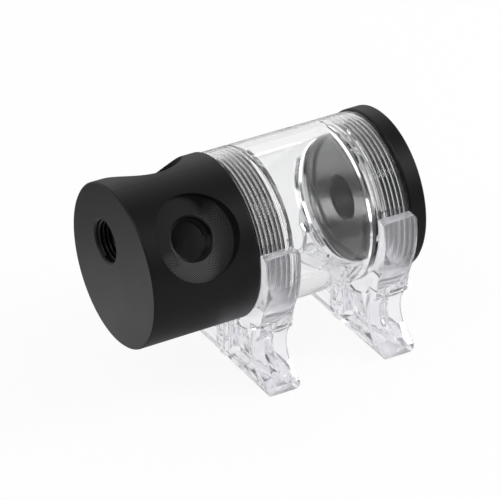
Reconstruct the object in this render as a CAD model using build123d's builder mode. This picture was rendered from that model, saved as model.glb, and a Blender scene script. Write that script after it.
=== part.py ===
# Water cooling reservoir: a clear threaded tube closed by two screw-in caps and held
# by two moulded C-clip brackets. +X runs along the tube away from the multi-port cap,
# +Z is up, and the origin is on the mounting plane under the middle of the reservoir.
# All sizes are in millimetres.
import os
from math import cos, radians, sin, sqrt
from build123d import *

# Tube
tube_radius = 25.0
tube_wall = 5.0
tube_length = 51.7
tube_edge_break = 0.3

# Threaded socket at each end of the tube
thread_wall = 2.55
thread_height = 0.85
socket_depth = 12.4

# Plug that each cap screws into the tube
thread_clearance = 0.1
plug_length = 9.8
nose_chamfer = 0.5

# O-rings, each in a groove in its cap's shoulder, against the end face of the tube
oring_section = 1.2
oring_clearance = 0.05
groove_side_gap = 0.1

# Caps
cap_overhang = 0.5
cap_edge_break = 0.4
multi_port_cap_length = 35.3
multi_port_cap_end_wall = 9.0
end_cap_flange = 5.4

# Ports, each tapped G 1/4 (13.157 mm across the thread's roots in the port)
port_radius = 6.58
port_chamfer = 0.5
nose_port_chamfer = 0.75
port_wall = 5.0
spot_face_depth = 5.0
spot_face_radius = 13.2
spot_face_station = 17.5
side_port_angles = [143.0, 53.0, -37.0]
end_port_angle = 53.0
end_port_margin = 1.3

# Brackets
bracket_width = 11.0
bracket_end_gap = 0.3
under_tube_height = 17.0
clip_clearance = 0.05
clip_thickness = 4.15
clip_tip_angle = 12.0
clip_tip_round = 1.2
arm_corner_round = 1.6
arm_arc_end_angle = 25.0
crease_inset = 1.0
crease_height = 19.6
ledge_height = 1.3
leg_inset = 2.5
waist_inset = 4.3
leg_foot_height = 7.0
foot_overhang = 3.3
foot_edge_height = 2.8
foot_edge_round = 0.5
base_thickness = 2.6
leg_thickness = 2.4
web_thickness = 3.0
pocket_round = 0.8

# Screw boss in the middle of each bracket, for an M4 cap screw
boss_inset = 0.3
screw_hole_radius = 2.2
screw_head_radius = 4.0
screw_seat_height = 11.5

# Radii worked out from the walls and clearances
tube_bore_radius = tube_radius - tube_wall
thread_bore_radius = tube_radius - thread_wall
plug_radius = thread_bore_radius - thread_clearance
oring_radius = (thread_bore_radius + thread_height + tube_radius - tube_edge_break) / 2
groove_inner_radius = oring_radius - oring_section / 2 - groove_side_gap
groove_outer_radius = oring_radius + oring_section / 2 + groove_side_gap
groove_depth = oring_section + 2 * oring_clearance
cap_radius = tube_radius + cap_overhang
spot_face_level = cap_radius - spot_face_depth
cavity_radius = spot_face_level - port_wall
end_port_offset = cavity_radius - port_radius - end_port_margin
clip_radius = tube_radius + clip_clearance
clip_outer_radius = clip_radius + clip_thickness

# Stations along X and the height of the tube's axis
axis_height = tube_radius + under_tube_height
cap_face_x = -(multi_port_cap_length + tube_length + end_cap_flange) / 2
tube_start_x = cap_face_x + multi_port_cap_length
tube_end_x = tube_start_x + tube_length
end_face_x = tube_end_x + end_cap_flange
spot_face_x = cap_face_x + spot_face_station
front_bracket_x = tube_start_x + bracket_end_gap
rear_bracket_x = tube_end_x - bracket_end_gap - bracket_width

# Sections of turned pieces are drawn as (x, radius) and revolved about the tube's axis
tube_axis = Axis((0, 0, axis_height), (1, 0, 0))
turning_plane = Plane(origin=(0, 0, axis_height), x_dir=(1, 0, 0), z_dir=(0, -1, 0))


def cross_plane(x):
    """Plane across the tube at x, with its origin on the axis, first axis +Y and second +Z."""
    return Plane(origin=(x, 0, axis_height), x_dir=(0, 1, 0), z_dir=(1, 0, 0))


def socket_section(mouth_x, inward):
    """Bore of one threaded socket, from the tube's end face to the plain bore."""
    floor_x = mouth_x + inward * socket_depth
    return [
        (mouth_x, tube_radius - tube_edge_break),
        (mouth_x, thread_bore_radius),
        (floor_x, thread_bore_radius),
        (floor_x, tube_bore_radius),
    ]


def plug_section(shoulder_x, inward):
    """Shoulder of one cap, with the O-ring's groove, and its plug to the corner of the nose."""
    groove_x = shoulder_x - inward * groove_depth
    nose_x = shoulder_x + inward * plug_length
    return [
        (shoulder_x, groove_outer_radius),
        (groove_x, groove_outer_radius),
        (groove_x, groove_inner_radius),
        (shoulder_x, groove_inner_radius),
        (shoulder_x, plug_radius),
        (nose_x - inward * nose_chamfer, plug_radius),
        (nose_x, plug_radius - nose_chamfer),
    ]


def countersink(size):
    """Chamfer of a port's mouth, cut down from the place that holds it."""
    Cone(
        port_radius,
        port_radius + size,
        size,
        align=(Align.CENTER, Align.CENTER, Align.MAX),
        mode=Mode.SUBTRACT,
    )


def cut_port(depth):
    """Tapped hole with a countersunk mouth, cut down from the place that holds it."""
    Hole(port_radius, depth=depth)
    countersink(port_chamfer)


# Tube: clear acrylic, with the same socket at both ends
with BuildPart() as tank_tube:
    with BuildSketch(turning_plane):
        with BuildLine():
            outside = [
                (tube_end_x - tube_edge_break, tube_radius),
                (tube_start_x + tube_edge_break, tube_radius),
            ]
            front_socket = socket_section(tube_start_x, 1)
            rear_socket = socket_section(tube_end_x, -1)
            Polyline(front_socket + rear_socket[::-1] + outside, close=True)
        make_face()
    revolve(axis=tube_axis)
tank_tube.part.label = "tank_tube"

# Multi-port cap: a deep cup with a tapped port in its end wall and three in its side,
# each on a flat floor that a round cutter sinks into the cap
with BuildPart() as multi_port_cap:
    with BuildSketch(turning_plane):
        with BuildLine():
            cup = [
                (cap_face_x, 0),
                (cap_face_x, cap_radius - cap_edge_break),
                (cap_face_x + cap_edge_break, cap_radius),
                (tube_start_x - cap_edge_break, cap_radius),
                (tube_start_x, cap_radius - cap_edge_break),
            ]
            cavity = [
                (tube_start_x + plug_length, cavity_radius),
                (cap_face_x + multi_port_cap_end_wall, cavity_radius),
                (cap_face_x + multi_port_cap_end_wall, 0),
            ]
            Polyline(cup + plug_section(tube_start_x, 1) + cavity, close=True)
        make_face()
    revolve(axis=tube_axis)
    for angle in side_port_angles:
        outward = Vector(0, cos(radians(angle)), sin(radians(angle)))
        floor_middle = Vector(spot_face_x, 0, axis_height) + outward * spot_face_level
        floor_plane = Plane(origin=floor_middle, x_dir=(1, 0, 0), z_dir=outward)
        with BuildSketch(floor_plane):
            Circle(spot_face_radius)
        extrude(amount=spot_face_depth, mode=Mode.SUBTRACT)
        with Locations(floor_plane):
            cut_port(spot_face_level)
    end_port_y = end_port_offset * cos(radians(end_port_angle))
    end_port_z = axis_height + end_port_offset * sin(radians(end_port_angle))
    with Locations(Plane(origin=(cap_face_x, end_port_y, end_port_z), z_dir=(-1, 0, 0))):
        cut_port(multi_port_cap_end_wall)
multi_port_cap.part.label = "multi_port_cap"

# End cap: a thin flange and the same plug, with one tapped port right through
with BuildPart() as end_cap:
    with BuildSketch(turning_plane):
        with BuildLine():
            flange = [
                (end_face_x, 0),
                (end_face_x, cap_radius - cap_edge_break),
                (end_face_x - cap_edge_break, cap_radius),
                (tube_end_x + cap_edge_break, cap_radius),
                (tube_end_x, cap_radius - cap_edge_break),
            ]
            nose = [(tube_end_x - plug_length, 0)]
            Polyline(flange + plug_section(tube_end_x, -1) + nose, close=True)
        make_face()
    revolve(axis=tube_axis)
    with Locations(cross_plane(end_face_x)):
        cut_port(plug_length + end_cap_flange)
    with Locations(Plane(origin=(tube_end_x - plug_length, 0, axis_height), z_dir=(-1, 0, 0))):
        countersink(nose_port_chamfer)
end_cap.part.label = "end_cap"


def make_oring(shoulder_x, inward):
    """O-ring in the middle of the groove in the shoulder at shoulder_x."""
    groove_middle_x = shoulder_x - inward * groove_depth / 2
    with BuildPart() as oring:
        with BuildSketch(turning_plane):
            with Locations((groove_middle_x, oring_radius)):
                Circle(oring_section / 2)
        revolve(axis=tube_axis)
    return oring


multi_port_cap_oring = make_oring(tube_start_x, 1)
multi_port_cap_oring.part.label = "multi_port_cap_oring"
end_cap_oring = make_oring(tube_end_x, -1)
end_cap_oring.part.label = "end_cap_oring"


def on_circle(radius, angle):
    """Point on a circle about the tube's axis; the angle is up from +Y, in degrees."""
    return (radius * cos(radians(angle)), radius * sin(radians(angle)))


def arc_through_waist(edge_y, waist_y, top_z, bottom_z):
    """Concave side of a leg, from its top down to where the foot begins to slope out."""
    middle_z = (top_z + bottom_z) / 2
    return ThreePointArc((edge_y, top_z), (waist_y, middle_z), (edge_y, bottom_z))


def make_bracket(start_x):
    """One C-clip bracket: clip arms, waisted legs, foot, thin web and screw boss."""
    base_z = -axis_height
    crease = (tube_radius - crease_inset, base_z + crease_height)
    leg_y = tube_radius - leg_inset
    waist_y = tube_radius - waist_inset
    foot_y = tube_radius + foot_overhang
    leg_top_z = base_z + crease_height - ledge_height
    leg_bottom_z = base_z + leg_foot_height
    floor_z = base_z + base_thickness
    boss_radius = bracket_width / 2 - boss_inset
    pocket_depth = (bracket_width - web_thickness) / 2

    with BuildPart() as bracket:
        # Half outline on the +Y side, mirrored about the middle
        with BuildSketch(cross_plane(start_x)):
            with BuildLine():
                tip_in = on_circle(clip_radius, clip_tip_angle)
                tip_out = on_circle(clip_outer_radius, clip_tip_angle)
                arm_end = on_circle(clip_outer_radius, -arm_arc_end_angle)
                arm_middle = on_circle(clip_outer_radius, (clip_tip_angle - arm_arc_end_angle) / 2)
                seat_middle = on_circle(clip_radius, (clip_tip_angle - 90) / 2)
                ThreePointArc((0, -clip_radius), seat_middle, tip_in)
                Line(tip_in, tip_out)
                arm = ThreePointArc(tip_out, arm_middle, arm_end)
                TangentArc(arm_end, crease, tangent=arm % 1)
                Line(crease, (leg_y, leg_top_z))
                arc_through_waist(leg_y, waist_y, leg_top_z, leg_bottom_z)
                Polyline(
                    (leg_y, leg_bottom_z),
                    (foot_y, base_z + foot_edge_height),
                    (foot_y, base_z),
                    (0, base_z),
                    (0, -clip_radius),
                )
            make_face()
            mirror(about=Plane.YZ)
            corners = vertices()
            fillet(corners.filter_by(lambda v: v.Z > axis_height), clip_tip_round)
        extrude(amount=bracket_width)
        foot_edges = edges().filter_by(Axis.X).filter_by(lambda e: abs(e.center().Y) > foot_y - 0.001)
        fillet(foot_edges.group_by(Axis.Z)[-1], foot_edge_round)

        # Seen from the front, the tips of the arms have round corners
        with BuildSketch(Plane.XZ.offset(-clip_outer_radius)):
            with Locations((start_x + bracket_width / 2, 0)):
                Rectangle(
                    bracket_width,
                    axis_height + tip_out[1],
                    align=(Align.CENTER, Align.MIN),
                )
            fillet(vertices().group_by(Axis.Z)[-1], arm_corner_round)
        extrude(amount=2 * clip_outer_radius, mode=Mode.INTERSECT)

        # Pockets in both faces, between the boss and each leg, that leave the thin web
        for face_x, into in ((start_x, 1), (start_x + bracket_width, -1)):
            with BuildSketch(cross_plane(face_x)):
                with BuildLine():
                    inner_y = leg_y - leg_thickness
                    shoulder_z = -sqrt(clip_outer_radius**2 - inner_y**2)
                    boss_top_z = -sqrt(clip_outer_radius**2 - (boss_radius / 2) ** 2)
                    under_clip = (inner_y + boss_radius / 2) / 2
                    under_clip_z = -sqrt(clip_outer_radius**2 - under_clip**2)
                    foot_slope = (foot_edge_height - leg_foot_height) / (foot_y - leg_y)
                    toe_y = leg_y + (floor_z - leg_bottom_z) / foot_slope - 2 * leg_thickness
                    ThreePointArc(
                        (boss_radius / 2, boss_top_z), (under_clip, under_clip_z), (inner_y, shoulder_z)
                    )
                    ThreePointArc(
                        (inner_y, shoulder_z),
                        (waist_y - leg_thickness, (leg_top_z + leg_bottom_z) / 2),
                        (toe_y, floor_z),
                    )
                    Polyline(
                        (toe_y, floor_z), (boss_radius / 2, floor_z), (boss_radius / 2, boss_top_z)
                    )
                make_face()
                fillet(vertices().sort_by(Axis.Y)[-2:], pocket_round)
                mirror(about=Plane.YZ)
            extrude(amount=into * pocket_depth, mode=Mode.SUBTRACT)

        # Screw boss from the base up into the clip, bored for the screw and its head
        with BuildSketch(Plane.XY):
            with Locations((start_x + bracket_width / 2, 0)):
                Circle(boss_radius)
        extrude(amount=under_tube_height - clip_clearance - clip_thickness / 2)
        with Locations((start_x + bracket_width / 2, 0, axis_height)):
            CounterBoreHole(
                screw_hole_radius, screw_head_radius, axis_height - screw_seat_height, depth=axis_height
            )
    return bracket


front_bracket = make_bracket(front_bracket_x)
front_bracket.part.label = "front_bracket"
rear_bracket = make_bracket(rear_bracket_x)
rear_bracket.part.label = "rear_bracket"

# One STEP file for each piece
os.makedirs("parts", exist_ok=True)
pieces = [
    tank_tube,
    multi_port_cap,
    end_cap,
    multi_port_cap_oring,
    end_cap_oring,
    front_bracket,
    rear_bracket,
]
for piece in pieces:
    export_step(piece.part, f"parts/{piece.part.label}.step")
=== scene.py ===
# Water cooling reservoir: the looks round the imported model, in metres, with +X along the tube.
import math
import bmesh
import bpy
from mathutils import Matrix, Vector


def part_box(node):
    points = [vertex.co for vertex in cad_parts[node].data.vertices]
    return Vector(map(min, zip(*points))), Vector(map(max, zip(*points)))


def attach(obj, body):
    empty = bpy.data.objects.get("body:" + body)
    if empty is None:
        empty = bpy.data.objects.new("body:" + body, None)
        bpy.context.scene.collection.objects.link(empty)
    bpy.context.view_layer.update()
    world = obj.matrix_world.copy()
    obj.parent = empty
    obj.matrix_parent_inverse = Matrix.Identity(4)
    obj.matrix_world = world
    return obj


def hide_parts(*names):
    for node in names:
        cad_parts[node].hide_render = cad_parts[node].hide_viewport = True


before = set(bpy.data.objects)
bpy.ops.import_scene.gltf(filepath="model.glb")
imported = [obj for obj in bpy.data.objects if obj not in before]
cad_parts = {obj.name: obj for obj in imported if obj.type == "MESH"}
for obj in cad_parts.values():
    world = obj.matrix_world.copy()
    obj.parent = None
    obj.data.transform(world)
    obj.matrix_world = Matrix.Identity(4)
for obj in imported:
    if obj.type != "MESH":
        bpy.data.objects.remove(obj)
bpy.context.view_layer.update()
mm = 0.001

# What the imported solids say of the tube: its two ends, its axis and its radius
tubeLow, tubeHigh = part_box("tank_tube")
axisHeight = (tubeLow.z + tubeHigh.z) / 2
tubeRadius = (tubeHigh.z - tubeLow.z) / 2
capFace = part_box("multi_port_cap")[0].x
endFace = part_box("end_cap")[1].x
# Each mouth of the tube, with the way into it along X
tubeMouths = ((tubeLow.x, 1), (tubeHigh.x, -1))


class Signal:
    # A node's output, so that sums on it write the Math nodes
    def __init__(self, sheet, socket):
        self.sheet = sheet
        self.socket = socket

    def math(self, operation, *others):
        values = dict(enumerate((self,) + others))
        return self.sheet.node("ShaderNodeMath", {"operation": operation}, values)

    def __add__(self, other):
        return self.math("ADD", other)

    def __radd__(self, other):
        return self.math("ADD", other)

    def __sub__(self, other):
        return self.math("SUBTRACT", other)

    def __rsub__(self, other):
        return self.sheet.number(other).math("SUBTRACT", self)

    def __mul__(self, other):
        return self.math("MULTIPLY", other)

    def __rmul__(self, other):
        return self.math("MULTIPLY", other)

    def __truediv__(self, other):
        return self.math("DIVIDE", other)

    def __pow__(self, other):
        return self.math("POWER", other)

    def __lt__(self, other):
        return self.math("LESS_THAN", other)

    def __gt__(self, other):
        return self.math("GREATER_THAN", other)


class Sheet:
    # The shader nodes of a material or of the world
    def __init__(self, owner):
        owner.use_nodes = True
        self.owner = owner
        self.nodes = owner.node_tree.nodes
        self.links = owner.node_tree.links
        self.nodes.clear()

    def node(self, kind, settings={}, values={}, output=0):
        made = self.nodes.new(kind)
        for name, value in settings.items():
            if name == "stops":
                self.setStops(made.color_ramp, value)
            else:
                setattr(made, name, value)
        for key, value in values.items():
            socket = made.inputs[key]
            if isinstance(value, Signal):
                self.links.new(value.socket, socket)
            else:
                socket.default_value = value
        return Signal(self, made.outputs[output]) if made.outputs else made

    def setStops(self, ramp, stops):
        while len(ramp.elements) < len(stops):
            ramp.elements.new(1.0)
        for element, (place, shade) in zip(ramp.elements, stops):
            element.position = place
            element.color = (shade, shade, shade, 1.0)

    def number(self, value):
        return self.node("ShaderNodeMath", {"operation": "ADD"}, {0: value, 1: 0.0})

    def place(self):
        return self.node("ShaderNodeTexCoord", {}, {}, "Object")

    def axes(self, place):
        kind = "ShaderNodeSeparateXYZ"
        return [self.node(kind, {}, {0: place}, axis) for axis in ("X", "Y", "Z")]

    def roundTube(self, place):
        # The place from the tube's axis, and its distance from there
        x, y, z = self.axes(place)
        z = z - axisHeight
        return x, y, z, (y * y + z * z) ** 0.5

    def noise(self, place, scale, detail):
        values = {"Vector": place, "Scale": scale, "Detail": detail}
        return self.node("ShaderNodeTexNoise", {}, values, "Fac")

    def smooth(self, value, low, high, levels=(0.0, 1.0)):
        return self.node("ShaderNodeMapRange", {"interpolation_type": "SMOOTHSTEP"}, {
            "Value": value, "From Min": low, "From Max": high,
            "To Min": levels[0], "To Max": levels[1]})

    def bump(self, strength, distance, height):
        values = {"Strength": strength, "Distance": distance, "Height": height}
        return self.node("ShaderNodeBump", {}, values)

    def ray(self, question):
        return self.node("ShaderNodeLightPath", {}, {}, question)

    def beyond(self, question, count):
        # Whether a ray has more bounces of one kind than the count
        return self.ray(question) > count + 0.5

    def seen(self):
        # What the camera sees, straight or through clear plastic
        return self.ray("Is Camera Ray").math("MAXIMUM", self.ray("Is Transmission Ray"))

    def whiteness(self):
        # A little less than white once a ray has been reflected
        return 1 - self.beyond("Glossy Depth", 0) * room["lostInReflection"]

    def finish(self, shader, output="ShaderNodeOutputMaterial"):
        self.node(output, {}, {"Surface": shader})
        return self.owner


def newSheet(name):
    return Sheet(bpy.data.materials.new(name))


sidePorts = {
    "names": ("side_port_front", "side_port_top", "side_port_back"),
    "angles": (143.0, 53.0, -37.0),  # degrees up from +Y, looking along +X
    "station": capFace + 17.5 * mm,
    "floorLevel": 20.5 * mm,
    "faceRadius": 13.2 * mm,
    "threadFrom": 15.6 * mm,  # from the tube's axis
    "threadLength": 4.0 * mm,
}
blackPlastic = {
    "color": (0.006, 0.006, 0.007, 1.0),
    "markSheenColor": (0.13, 0.13, 0.135, 1.0),  # where the cutter left its marks, painted lighter than the plastic as a sheen
    "roughness": 0.36,
    "mottling": 0.08,  # added to the roughness in patches
    "floorRoughness": 0.06,  # added on the side ports' floors
    "nosePolish": 0.24,  # taken off on the plugs' flat noses
    "noseReach": 0.1 * mm,  # from a nose's plane, still counted as on it
    "turningScale": 2600.0,  # of the lathe's marks, to the metre
    "turningHeight": 0.25,
    "markHeight": 1.2,
}
milling = {
    "ringPitch": 0.62 * mm,
    "spokes": 90,
    "floorReach": 0.15 * mm,  # from a floor's plane, still counted as on it
    "sideways": (0.6, 0.8),  # the way across the floor in which the marks and their painted sheen get stronger
    "patchiness": 0.7,
    "edges": (-0.35, 0.15),  # where on that way they begin, and are full
}
plug = {
    "length": 9.8 * mm,
    "threadFrom": 0.45 * mm,  # from the cap's shoulder
    "threadTo": 8.7 * mm,
}


def millingMarksWithSheen(sheet, place, x, y, z):
    # The marks on the side ports' floors, painted lighter as a sheen, and where those floors are
    marksAndSheen = sheet.number(0.0)
    floors = sheet.number(0.0)
    for angle in sidePorts["angles"]:
        away = (math.cos(math.radians(angle)), math.sin(math.radians(angle)))
        level = y * away[0] + z * away[1]
        across = z * away[0] - y * away[1]
        along = x - sidePorts["station"]
        fromPort = (along * along + across * across) ** 0.5
        atLevel = (level - sidePorts["floorLevel"]).math("ABSOLUTE") < milling["floorReach"]
        onFloor = atLevel * (fromPort < sidePorts["faceRadius"])
        # Two families of arcs that cross, left by the cutter as it went round the port
        rings = fromPort * (2 * math.pi / milling["ringPitch"])
        spokes = across.math("ARCTAN2", along) * milling["spokes"]
        oneWay = (rings + spokes).math("SINE") * 0.5 + 0.5
        otherWay = (rings - spokes).math("SINE") * 0.5 + 0.5
        # Painted sheen: the marks are painted lighter and stronger toward one side of each floor
        patch = (sheet.noise(place, 420.0, 2.0) - 0.5) * milling["patchiness"]
        sideways = along * milling["sideways"][0] + across * milling["sideways"][1]
        strength = sheet.smooth(sideways / sidePorts["faceRadius"] + patch, *milling["edges"])
        marksAndSheen = marksAndSheen + onFloor * oneWay * otherWay * strength
        floors = floors + onFloor
    return marksAndSheen, floors


def blackCapMaterial():
    # Satin black plastic, turned on a lathe, with milled floors round the side ports whose marks carry a
    # painted sheen
    sheet = newSheet("satin_black_cap")
    place = sheet.place()
    x, y, z, radius = sheet.roundTube(place)
    turning = sheet.node("ShaderNodeTexNoise", {"noise_dimensions": "1D"}, {
        "W": (x + radius) * blackPlastic["turningScale"], "Scale": 1.0, "Detail": 2.0}, "Fac")
    marksAndSheen, floors = millingMarksWithSheen(sheet, place, x, y, z)
    # The flat nose of each plug is turned finer than the rest of the cap
    noses = sheet.number(0.0)
    for mouth, inward in tubeMouths:
        fromNose = (x - (mouth + inward * plug["length"])).math("ABSOLUTE")
        noses = noses + (fromNose < blackPlastic["noseReach"])
    # The marks' painted sheen: a lighter grey mixed into the black where they are
    color = sheet.node("ShaderNodeMix", {"data_type": "RGBA"}, {
        "Factor": marksAndSheen, 6: blackPlastic["color"], 7: blackPlastic["markSheenColor"]}, 2)
    roughness = blackPlastic["roughness"] + sheet.noise(place, 90.0, 4.0) * blackPlastic["mottling"]
    roughness = roughness + floors * blackPlastic["floorRoughness"] - noses * blackPlastic["nosePolish"]
    turned = turning * blackPlastic["turningHeight"] * (1 - floors)
    height = turned + marksAndSheen * blackPlastic["markHeight"]
    return sheet.finish(sheet.node("ShaderNodeBsdfPrincipled", {}, {
        "Base Color": color, "Roughness": roughness, "Specular IOR Level": 0.36,
        "Normal": sheet.bump(0.35, 0.05 * mm, height)}))


def cutThreadMaterial():
    # The same black plastic where the thread was cut: smooth flanks with faint chatter along them
    sheet = newSheet("cut_thread")
    chatter = sheet.noise(sheet.place(), 700.0, 2.0)
    return sheet.finish(sheet.node("ShaderNodeBsdfPrincipled", {}, {
        "Base Color": blackPlastic["color"], "Roughness": 0.14 + chatter * 0.1,
        "Specular IOR Level": 0.6, "Normal": sheet.bump(0.15, 0.02 * mm, chatter)}))


clearPlastic = {
    "milk": (0.93, 0.93, 0.955, 1.0),
    "milkRoughness": 0.4,
    "seatReach": 0.2 * mm,  # from the tube's outside, still counted as on the seat
}


def clearMaterial(name, tint, roughness, ior, haze, seatHaze=0.0):
    # Clear plastic that refracts, with a little milky haze, and more of it on a seat round the tube
    sheet = newSheet(name)
    place = sheet.place()
    cloud = sheet.noise(place, 120.0, 3.0)
    clear = sheet.node("ShaderNodeBsdfPrincipled", {}, {
        "Base Color": tint, "Roughness": cloud * roughness, "IOR": ior, "Transmission Weight": 1.0})
    milky = sheet.node("ShaderNodeBsdfPrincipled", {}, {
        "Base Color": clearPlastic["milk"], "Roughness": clearPlastic["milkRoughness"]})
    radius = sheet.roundTube(place)[3]
    onSeat = (radius - tubeRadius).math("ABSOLUTE") < clearPlastic["seatReach"]
    share = haze + onSeat * seatHaze * (cloud + 0.5)
    return sheet.finish(sheet.node("ShaderNodeMixShader", {}, {"Fac": share, 1: clear, 2: milky}))


def rubberMaterial():
    sheet = newSheet("black_rubber")
    grain = sheet.noise(sheet.place(), 900.0, 2.0)
    return sheet.finish(sheet.node("ShaderNodeBsdfPrincipled", {}, {
        "Base Color": (0.012, 0.012, 0.012, 1.0), "Roughness": 0.5 + grain * 0.15,
        "Normal": sheet.bump(0.2, 0.02 * mm, grain)}))


def dress(thing, material):
    thing.data.materials.clear()
    thing.data.materials.append(material)


def addThing(name, data):
    thing = bpy.data.objects.new(name, data)
    bpy.context.scene.collection.objects.link(thing)
    return thing


def addPiece(name, mesh, body, slot, material, *nodes):
    thing = addThing(name, mesh)
    dress(thing, material)
    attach(thing, body)
    if nodes:
        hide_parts(*nodes)


class NodeSheet:
    # A Geometry Nodes tree with named inputs
    def __init__(self, name, inputs):
        self.tree = bpy.data.node_groups.new(name, "GeometryNodeTree")
        self.tree.interface.new_socket("Geometry", in_out="OUTPUT", socket_type="NodeSocketGeometry")
        self.identifiers = {}
        for title, kind in inputs:
            made = self.tree.interface.new_socket(title, in_out="INPUT", socket_type="NodeSocket" + kind)
            self.identifiers[title] = made.identifier
        self.inputs = self.tree.nodes.new("NodeGroupInput").outputs

    def node(self, kind, settings={}, values={}, output=0):
        made = self.tree.nodes.new(kind)
        for name, value in settings.items():
            setattr(made, name, value)
        for key, value in values.items():
            if isinstance(value, bpy.types.NodeSocket):
                self.tree.links.new(value, made.inputs[key])
            else:
                made.inputs[key].default_value = value
        return made.outputs[output]

    def math(self, operation, *values):
        return self.node("ShaderNodeMath", {"operation": operation}, dict(enumerate(values)))

    def finish(self, geometry):
        out = self.tree.nodes.new("NodeGroupOutput")
        self.tree.links.new(geometry, out.inputs[0])


plugThread = {
    "radius": tubeRadius - 2.65 * mm,
    "pitch": 1.5 * mm,
    "height": 0.8 * mm,
    "baseWidth": 1.1 * mm,
    "crestWidth": 0.16 * mm,
    "lean": -90.0,  # degrees: the ridge stands outward
}
portThread = {
    "radius": 6.58 * mm,
    "pitch": 1.337 * mm,
    "height": 0.78 * mm,
    "baseWidth": 1.15 * mm,
    "crestWidth": 0.2 * mm,
    "lean": 90.0,
}
ridge = {
    "runOut": 0.3,  # of a turn at each end
    "steps": 96,  # in a turn
    "lift": 0.48,  # of its height, so that its foot is just inside the wall
    "least": 0.02,  # of its full size, at its very end
}


def makeThreadTree():
    # A thread's ridge: a trapezium swept up a right-handed helix, run out at both ends
    sizes = ("Wall Radius", "Pitch", "Turns", "Height", "Base Width", "Crest Width", "Lean", "Run Out")
    sheet = NodeSheet("thread_ridge", [(name, "Float") for name in sizes]
                      + [("Steps", "Int"), ("Material", "Material")])
    inputs = sheet.inputs
    helix = sheet.node("GeometryNodeCurveSpiral", {}, {
        "Resolution": inputs["Steps"], "Rotations": inputs["Turns"], "Reverse": True,
        "Height": sheet.math("MULTIPLY", inputs["Pitch"], inputs["Turns"]),
        "Start Radius": inputs["Wall Radius"], "End Radius": inputs["Wall Radius"]})
    upright = sheet.node("GeometryNodeSetCurveNormal", {"mode": "Z_UP"}, {0: helix})
    share = sheet.node("GeometryNodeSplineParameter", {}, {}, "Factor")
    fromMiddle = sheet.math("ABSOLUTE", sheet.math("SUBTRACT", share, 0.5))
    turnsToEnd = sheet.math("MULTIPLY", sheet.math("SUBTRACT", 0.5, fromMiddle), inputs["Turns"])
    taper = sheet.node("ShaderNodeMapRange", {}, {
        "Value": turnsToEnd, "From Min": 0.0, "From Max": inputs["Run Out"],
        "To Min": ridge["least"], "To Max": 1.0})
    tapered = sheet.node("GeometryNodeSetCurveRadius", {}, {0: upright, "Radius": taper})
    section = sheet.node("GeometryNodeCurvePrimitiveQuadrilateral", {"mode": "TRAPEZOID"}, {
        "Bottom Width": inputs["Base Width"], "Top Width": inputs["Crest Width"],
        "Height": inputs["Height"], "Offset": 0.0})
    lift = sheet.node("ShaderNodeCombineXYZ", {}, {
        "Y": sheet.math("MULTIPLY", inputs["Height"], ridge["lift"])})
    raised = sheet.node("GeometryNodeTransform", {}, {"Geometry": section, "Translation": lift})
    lean = sheet.node("ShaderNodeCombineXYZ", {}, {"Z": inputs["Lean"]})
    turned = sheet.node("GeometryNodeTransform", {}, {"Geometry": raised, "Rotation": lean})
    swept = sheet.node("GeometryNodeCurveToMesh", {}, {0: tapered, 1: turned, "Fill Caps": True})
    realized = sheet.node("GeometryNodeRealizeInstances", {}, {0: swept})
    sheet.finish(sheet.node("GeometryNodeSetMaterial", {}, {0: realized, "Material": inputs["Material"]}))
    return sheet


tube = {
    "wall": 5.0 * mm,
    "threadWall": 2.55 * mm,
    "socketDepth": 12.4 * mm,
    "threadPitch": 1.5 * mm,
    "firstGroove": 0.35 * mm,  # from the mouth, high on the front
    "highOnFront": 0.65,  # of a turn from the tube's lowest line
    "grooveDepth": 0.85 * mm,
    "grooveEdge": 0.4,  # of the pitch, from a groove's middle
    "grooveFlat": 0.06,
    "fadeGap": 0.4,  # of the pitch, from the socket's floor to the last trace of a groove
    "fadeLength": 0.6,
    "edgeBreak": 0.3 * mm,
    "columns": 240,  # faces round the tube
    "merge": 0.0005 * mm,
    "sharpAngle": 28.0,
}


def onTube(x, radius, part):
    # A point round the tube's axis, a part of a turn on from its lowest line
    angle = 2 * math.pi * part
    return (x, radius * math.sin(angle), axisHeight - radius * math.cos(angle))


def ringAt(mesh, x, radii):
    count = len(radii)
    return [mesh.verts.new(onTube(x, radius, column / count)) for column, radius in enumerate(radii)]


def joinRings(mesh, first, second):
    count = len(first)
    for column in range(count):
        after = (column + 1) % count
        mesh.faces.new((first[column], first[after], second[after], second[column]))


def grooveStart(mouth, inward):
    # Where the middle of a groove crosses the lowest line of the tube
    return mouth + inward * tube["firstGroove"] - tube["highOnFront"] * tube["threadPitch"]


def grooveRadius(x, part, mouth, inward):
    # The socket's radius there: the grooves are open at its mouth, and fade out before its floor
    pitch = tube["threadPitch"]
    turns = (x - grooveStart(mouth, inward)) / pitch - part
    fromGroove = (turns + 0.5) % 1.0 - 0.5
    flank = (tube["grooveEdge"] - abs(fromGroove)) / (tube["grooveEdge"] - tube["grooveFlat"])
    toFloor = (mouth + inward * tube["socketDepth"] - x + fromGroove * pitch) * inward / pitch
    fade = (toFloor - tube["fadeGap"]) / tube["fadeLength"]
    depth = tube["grooveDepth"] * min(max(flank, 0.0), 1.0) * min(max(fade, 0.0), 1.0)
    return tubeRadius - tube["threadWall"] + depth


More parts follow.
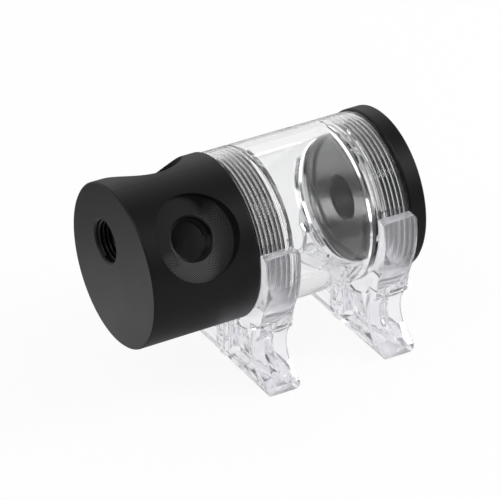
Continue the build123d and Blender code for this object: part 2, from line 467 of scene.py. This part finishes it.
def threadedSocket(mesh, mouth, inward):
    # The socket's helical grooves: rows that follow the helix, held between its two ends
    pitch = tube["threadPitch"]
    columns = tube["columns"]
    low, high = sorted((mouth, mouth + inward * tube["socketDepth"]))
    start = grooveStart(mouth, inward)
    spareTurns = 2
    firstTurn = math.floor((low - start) / pitch) - spareTurns
    lastTurn = firstTurn + math.ceil(tube["socketDepth"] / pitch) + 2 * spareTurns
    rows = []
    for turn in range(firstTurn, lastTurn):
        for share in (-tube["grooveEdge"], -tube["grooveFlat"], tube["grooveFlat"], tube["grooveEdge"]):
            row = []
            for column in range(columns + 1):
                part = column / columns
                x = min(max(start + (turn + share + part) * pitch, low), high)
                row.append(mesh.verts.new(onTube(x, grooveRadius(x, part, mouth, inward), part)))
            rows.append(row)
    for first, second in zip(rows, rows[1:]):
        for column in range(columns):
            mesh.faces.new((first[column], first[column + 1], second[column + 1], second[column]))


def finishMesh(mesh, name, sharpAngle):
    made = bpy.data.meshes.new(name)
    mesh.to_mesh(made)
    mesh.free()
    made.shade_smooth()
    made.set_sharp_from_angle(angle=math.radians(sharpAngle))
    return made


def makeTubeMesh():
    # One closed clear wall: outside, both mouths, both threaded sockets and the plain bore
    mesh = bmesh.new()
    columns = tube["columns"]
    crest = tubeRadius - tube["threadWall"]
    bore = tubeRadius - tube["wall"]
    chamfer = tube["edgeBreak"]
    corners = []
    for mouth, inward in tubeMouths:
        outerEdge = (mouth + inward * chamfer, [tubeRadius] * columns)
        faceEdge = (mouth, [tubeRadius - chamfer] * columns)
        floorX = mouth + inward * tube["socketDepth"]
        floorRim = (floorX, [crest] * columns)
        boreEdge = (floorX, [bore] * columns)
        grooved = [grooveRadius(mouth, column / columns, mouth, inward) for column in range(columns)]
        face = ringAt(mesh, *faceEdge)
        joinRings(mesh, ringAt(mesh, *outerEdge), face)
        joinRings(mesh, face, ringAt(mesh, mouth, grooved))
        joinRings(mesh, ringAt(mesh, *floorRim), ringAt(mesh, *boreEdge))
        threadedSocket(mesh, mouth, inward)
        corners.append((outerEdge, boreEdge))
    for first, second in zip(*corners):
        joinRings(mesh, ringAt(mesh, *first), ringAt(mesh, *second))
    bmesh.ops.remove_doubles(mesh, verts=mesh.verts, dist=tube["merge"])
    bmesh.ops.dissolve_degenerate(mesh, edges=mesh.edges, dist=tube["merge"])
    bmesh.ops.recalc_face_normals(mesh, faces=mesh.faces)
    return finishMesh(mesh, "clear_tube", tube["sharpAngle"])


bracket = {
    "edgeRadius": 0.25 * mm,
    "edgeAngle": 30.0,
    "flatAngle": 0.5,
    "merge": 0.0002 * mm,
    "sharpAngle": 40.0,
}


def softenedCopy(node):
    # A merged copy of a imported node, with its sharp moulded edges rounded
    mesh = bmesh.new()
    mesh.from_mesh(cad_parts[node].data)
    bmesh.ops.remove_doubles(mesh, verts=mesh.verts, dist=bracket["merge"])
    bmesh.ops.dissolve_limit(mesh, angle_limit=math.radians(bracket["flatAngle"]),
                             verts=mesh.verts, edges=mesh.edges)
    edgeAngle = math.radians(bracket["edgeAngle"])
    sharp = [edge for edge in mesh.edges if edge.calc_face_angle(0) > edgeAngle]
    bmesh.ops.bevel(mesh, geom=sharp, offset=bracket["edgeRadius"], segments=2, profile=0.5,
                    affect="EDGES", clamp_overlap=True)
    return finishMesh(mesh, node + "_clear", bracket["sharpAngle"])


def threadMesh(name, values):
    holder = addThing(name, bpy.data.meshes.new(name))
    modifier = holder.modifiers.new("thread", "NODES")
    modifier.node_group = threadTree.tree
    for key, value in values.items():
        modifier[threadTree.identifiers[key]] = value
    evaluated = holder.evaluated_get(bpy.context.evaluated_depsgraph_get())
    made = bpy.data.meshes.new_from_object(evaluated)
    bpy.data.objects.remove(holder)
    return made


def addThread(name, body, shape, start, axis, across, length, material):
    # A ridge whose helix starts at the given place and rises along the axis
    mesh = threadMesh(name, {
        "Wall Radius": shape["radius"], "Pitch": shape["pitch"], "Turns": length / shape["pitch"],
        "Height": shape["height"], "Base Width": shape["baseWidth"], "Crest Width": shape["crestWidth"],
        "Lean": math.radians(shape["lean"]), "Run Out": ridge["runOut"], "Steps": ridge["steps"],
        "Material": material})
    axis = Vector(axis)
    across = Vector(across)
    turn = Matrix((across, axis.cross(across), axis)).transposed().to_4x4()
    mesh.transform(Matrix.Translation(start) @ turn)
    addPiece(name, mesh, body, "black_cap", material)


def addPlugThread(name, body, mouth, inward):
    # The plug's ridge lies in the middle of the tube's grooves
    low, high = sorted((mouth + inward * plug["threadFrom"], mouth + inward * plug["threadTo"]))
    turn = 2 * math.pi * (low - grooveStart(mouth, inward)) / tube["threadPitch"]
    across = (0, math.sin(turn), -math.cos(turn))
    addThread(name, body, plugThread, (low, 0, axisHeight), (1, 0, 0), across, high - low, cutThread)


def addSidePortThread(name, angle):
    outward = Vector((0, math.cos(math.radians(angle)), math.sin(math.radians(angle))))
    start = Vector((sidePorts["station"], 0, axisHeight)) + outward * sidePorts["threadFrom"]
    addThread(name + "_thread", "multi_port_head", portThread, start, outward, (1, 0, 0),
              sidePorts["threadLength"], blackCap)


endPort = {
    "angle": 53.0,
    "offset": 7.62 * mm,
    "wall": 9.0 * mm,
    "innerGap": 0.6 * mm,
    "outerGap": 1.1 * mm,
}
endCapPort = {
    "outerGap": 1.1 * mm,
    "threadLength": 8.0 * mm,
}


def addEndPortThread():
    turn = math.radians(endPort["angle"])
    start = (capFace + endPort["wall"] - endPort["innerGap"], endPort["offset"] * math.cos(turn),
             axisHeight + endPort["offset"] * math.sin(turn))
    length = endPort["wall"] - endPort["innerGap"] - endPort["outerGap"]
    addThread("end_port_thread", "multi_port_head", portThread, start, (-1, 0, 0), (0, 0, 1),
              length, blackCap)


def addEndCapPortThread():
    length = endCapPort["threadLength"]
    start = (endFace - endCapPort["outerGap"] - length, 0, axisHeight)
    addThread("end_cap_port_thread", "end_head", portThread, start, (1, 0, 0), (0, 0, 1),
              length, blackCap)


photoView = {
    "azimuth": -29.46,  # degrees round the object from straight in front
    "elevation": 30.97,
    "roll": -0.64,
    "distance": 985.4 * mm,
    "lookAt": (-10.2 * mm, -17.8 * mm, 45.7 * mm),
    "focalPixels": 3370,
    "imagePixels": 500,
    "sensorWidth": 36.0,
    "nearest": 0.05,
    "farthest": 20.0,
}


def addCamera():
    turnRound = math.radians(photoView["azimuth"])
    rise = math.radians(photoView["elevation"])
    back = Vector((math.sin(turnRound) * math.cos(rise), -math.cos(turnRound) * math.cos(rise),
                   math.sin(rise)))
    camera = bpy.data.cameras.new("photo_camera")
    camera.sensor_width = photoView["sensorWidth"]
    camera.lens = photoView["focalPixels"] * camera.sensor_width / photoView["imagePixels"]
    camera.clip_start = photoView["nearest"]
    camera.clip_end = photoView["farthest"]
    thing = addThing("photo_camera", camera)
    thing.location = Vector(photoView["lookAt"]) + back * photoView["distance"]
    aim = (-back).to_track_quat("-Z", "Y").to_matrix()
    roll = Matrix.Rotation(math.radians(photoView["roll"]), 3, "Z")
    thing.rotation_euler = (aim @ roll).to_euler()
    bpy.context.scene.camera = thing


floor = {
    "size": 3.0,
    "height": -0.02 * mm,
    "paint": (0.82, 0.82, 0.83, 1.0),
    "glow": 0.92,  # the share of its own light where it is seen or mirrored
    "spot": (-70.0 * mm, 35.0 * mm),  # where glossy surfaces find it brightest
    "spotRadius": 80.0 * mm,
    "spotLevels": (0.9, 0.25),  # in the middle, and beyond the radius
}
# Glowing strips in the floor: a painted reflection for the plugs' noses
noseReflectionStrips = {
    "behind": 28.0 * mm,  # their least Y
    "slant": (0.64, -0.77),  # the way across them, in X and Y
    "from": -90.0 * mm,
    "to": -10.0 * mm,
    "strength": 5,  # times the level of each stop
    "stops": ((0.0, 0.5), (0.14, 0.4), (0.22, 0.05), (0.45, 0.02), (0.52, 1.0), (0.65, 1.0),
              (0.73, 0.03), (1.0, 0.03)),
}


def floorMaterial():
    # White to the camera and through clear plastic; in glossy surfaces it is brightest at one place, and
    # glowing strips in it paint a reflection on the plugs' noses
    sheet = newSheet("pale_floor")
    seen = sheet.seen()
    x, y = sheet.axes(sheet.place())[:2]
    sideways = x - floor["spot"][0]
    forward = y - floor["spot"][1]
    fromSpot = (sideways * sideways + forward * forward) ** 0.5
    mirrored = sheet.smooth(fromSpot, 0.0, floor["spotRadius"], floor["spotLevels"])
    strength = seen * sheet.whiteness() + mirrored * (1 - seen)
    # Glowing slanted strips, seen only by what the plugs mirror back out through the tube's wall: a
    # painted reflection on the plugs' noses
    inside = sheet.beyond("Transmission Depth", 3) * sheet.beyond("Glossy Depth", 0)
    inside = inside * (y > noseReflectionStrips["behind"])
    along = sheet.node("ShaderNodeMapRange", {}, {
        "Value": x * noseReflectionStrips["slant"][0] + y * noseReflectionStrips["slant"][1],
        "From Min": noseReflectionStrips["from"], "From Max": noseReflectionStrips["to"]})
    pattern = sheet.node("ShaderNodeValToRGB", {"stops": noseReflectionStrips["stops"]}, {"Fac": along})
    strength = strength * (1 - inside) + pattern * noseReflectionStrips["strength"] * inside
    paint = sheet.node("ShaderNodeBsdfDiffuse", {}, {"Color": floor["paint"]})
    glow = sheet.node("ShaderNodeEmission", {}, {"Color": (1.0, 1.0, 1.0, 1.0), "Strength": strength})
    share = seen.math("MAXIMUM", sheet.ray("Is Glossy Ray")) * floor["glow"]
    return sheet.finish(sheet.node("ShaderNodeMixShader", {}, {"Fac": share, 1: paint, 2: glow}))


def addFloor():
    mesh = bmesh.new()
    bmesh.ops.create_grid(mesh, x_segments=1, y_segments=1, size=floor["size"])
    made = bpy.data.meshes.new("floor")
    mesh.to_mesh(made)
    mesh.free()
    thing = addThing("floor", made)
    thing.location.z = floor["height"]
    dress(thing, floorMaterial())


room = {
    "softLight": 0.75,
    "front": 0.1,  # the Y of a direction where the backdrop begins
    "back": 0.85,  # and where it is brightest
    "levels": (0.02, 0.7),
    "lostInReflection": 0.12,
    "lampSize": 0.4,
}


def setWorld():
    # Soft light for the surfaces; clear plastic and the camera see a white room, and glossy
    # surfaces one that is white behind the object and dark in front of it
    world = bpy.data.worlds.new("studio")
    bpy.context.scene.world = world
    sheet = Sheet(world)
    through = sheet.seen() * sheet.whiteness()
    mirrored = sheet.ray("Is Glossy Ray")
    toward = sheet.node("ShaderNodeTexCoord", {}, {}, "Generated")
    behind = sheet.node("ShaderNodeSeparateXYZ", {}, {0: toward}, "Y")
    backdrop = sheet.smooth(behind, room["front"], room["back"], room["levels"])
    light = room["softLight"] * (1 - mirrored) + backdrop * mirrored
    light = light * (1 - through) + through
    shade = sheet.node("ShaderNodeBackground", {}, {"Color": (1.0, 1.0, 1.0, 1.0), "Strength": light})
    sheet.finish(shade, "ShaderNodeOutputWorld")


def addLamp(name, place, target, energy):
    lamp = bpy.data.lights.new(name, "AREA")
    lamp.size = room["lampSize"]
    lamp.energy = energy
    thing = addThing(name, lamp)
    thing.location = place
    thing.rotation_euler = (Vector(target) - Vector(place)).to_track_quat("-Z", "Y").to_euler()


print("materials")
blackCap = blackCapMaterial()
clearTube = clearMaterial("clear_acrylic_tube", tint=(0.985, 0.988, 0.99, 1.0),
                          roughness=0.02, ior=1.49, haze=0.01)
clearBracket = clearMaterial("clear_moulded_bracket", tint=(0.945, 0.945, 0.972, 1.0),
                             roughness=0.1, ior=1.5, haze=0.02, seatHaze=0.2)
cutThread = cutThreadMaterial()
rubber = rubberMaterial()
for node in ("multi_port_cap", "end_cap"):
    dress(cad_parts[node], blackCap)
for node in ("multi_port_cap_oring", "end_cap_oring"):
    dress(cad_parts[node], rubber)

print("tube")
addPiece("clear_tube", makeTubeMesh(), "tank", "clear_tube", clearTube, "tank_tube")

print("brackets")
for node, body in (("front_bracket", "front_clip"), ("rear_bracket", "rear_clip")):
    addPiece(node + "_clear", softenedCopy(node), body, "clear_bracket", clearBracket, node)

print("threads")
threadTree = makeThreadTree()
addPlugThread("multi_port_plug_thread", "multi_port_head", *tubeMouths[0])
addPlugThread("end_plug_thread", "end_head", *tubeMouths[1])
for name, angle in zip(sidePorts["names"], sidePorts["angles"]):
    addSidePortThread(name, angle)
addEndPortThread()
addEndCapPortThread()

print("stage")
addCamera()
addFloor()
setWorld()
addLamp("right_softbox", (0.95, -0.35, 0.6), (0.0, 0.0, 0.03), 8.0)
addLamp("left_softbox", (-0.9, -0.1, 0.8), (0.0, 0.0, 0.04), 2.0)
bpy.context.scene.view_settings.view_transform = "Standard"
# Light reflects many times inside the clear plastic before it comes out
cycles = bpy.context.scene.cycles
cycles.max_bounces = 40
cycles.glossy_bounces = 24
cycles.transmission_bounces = 32
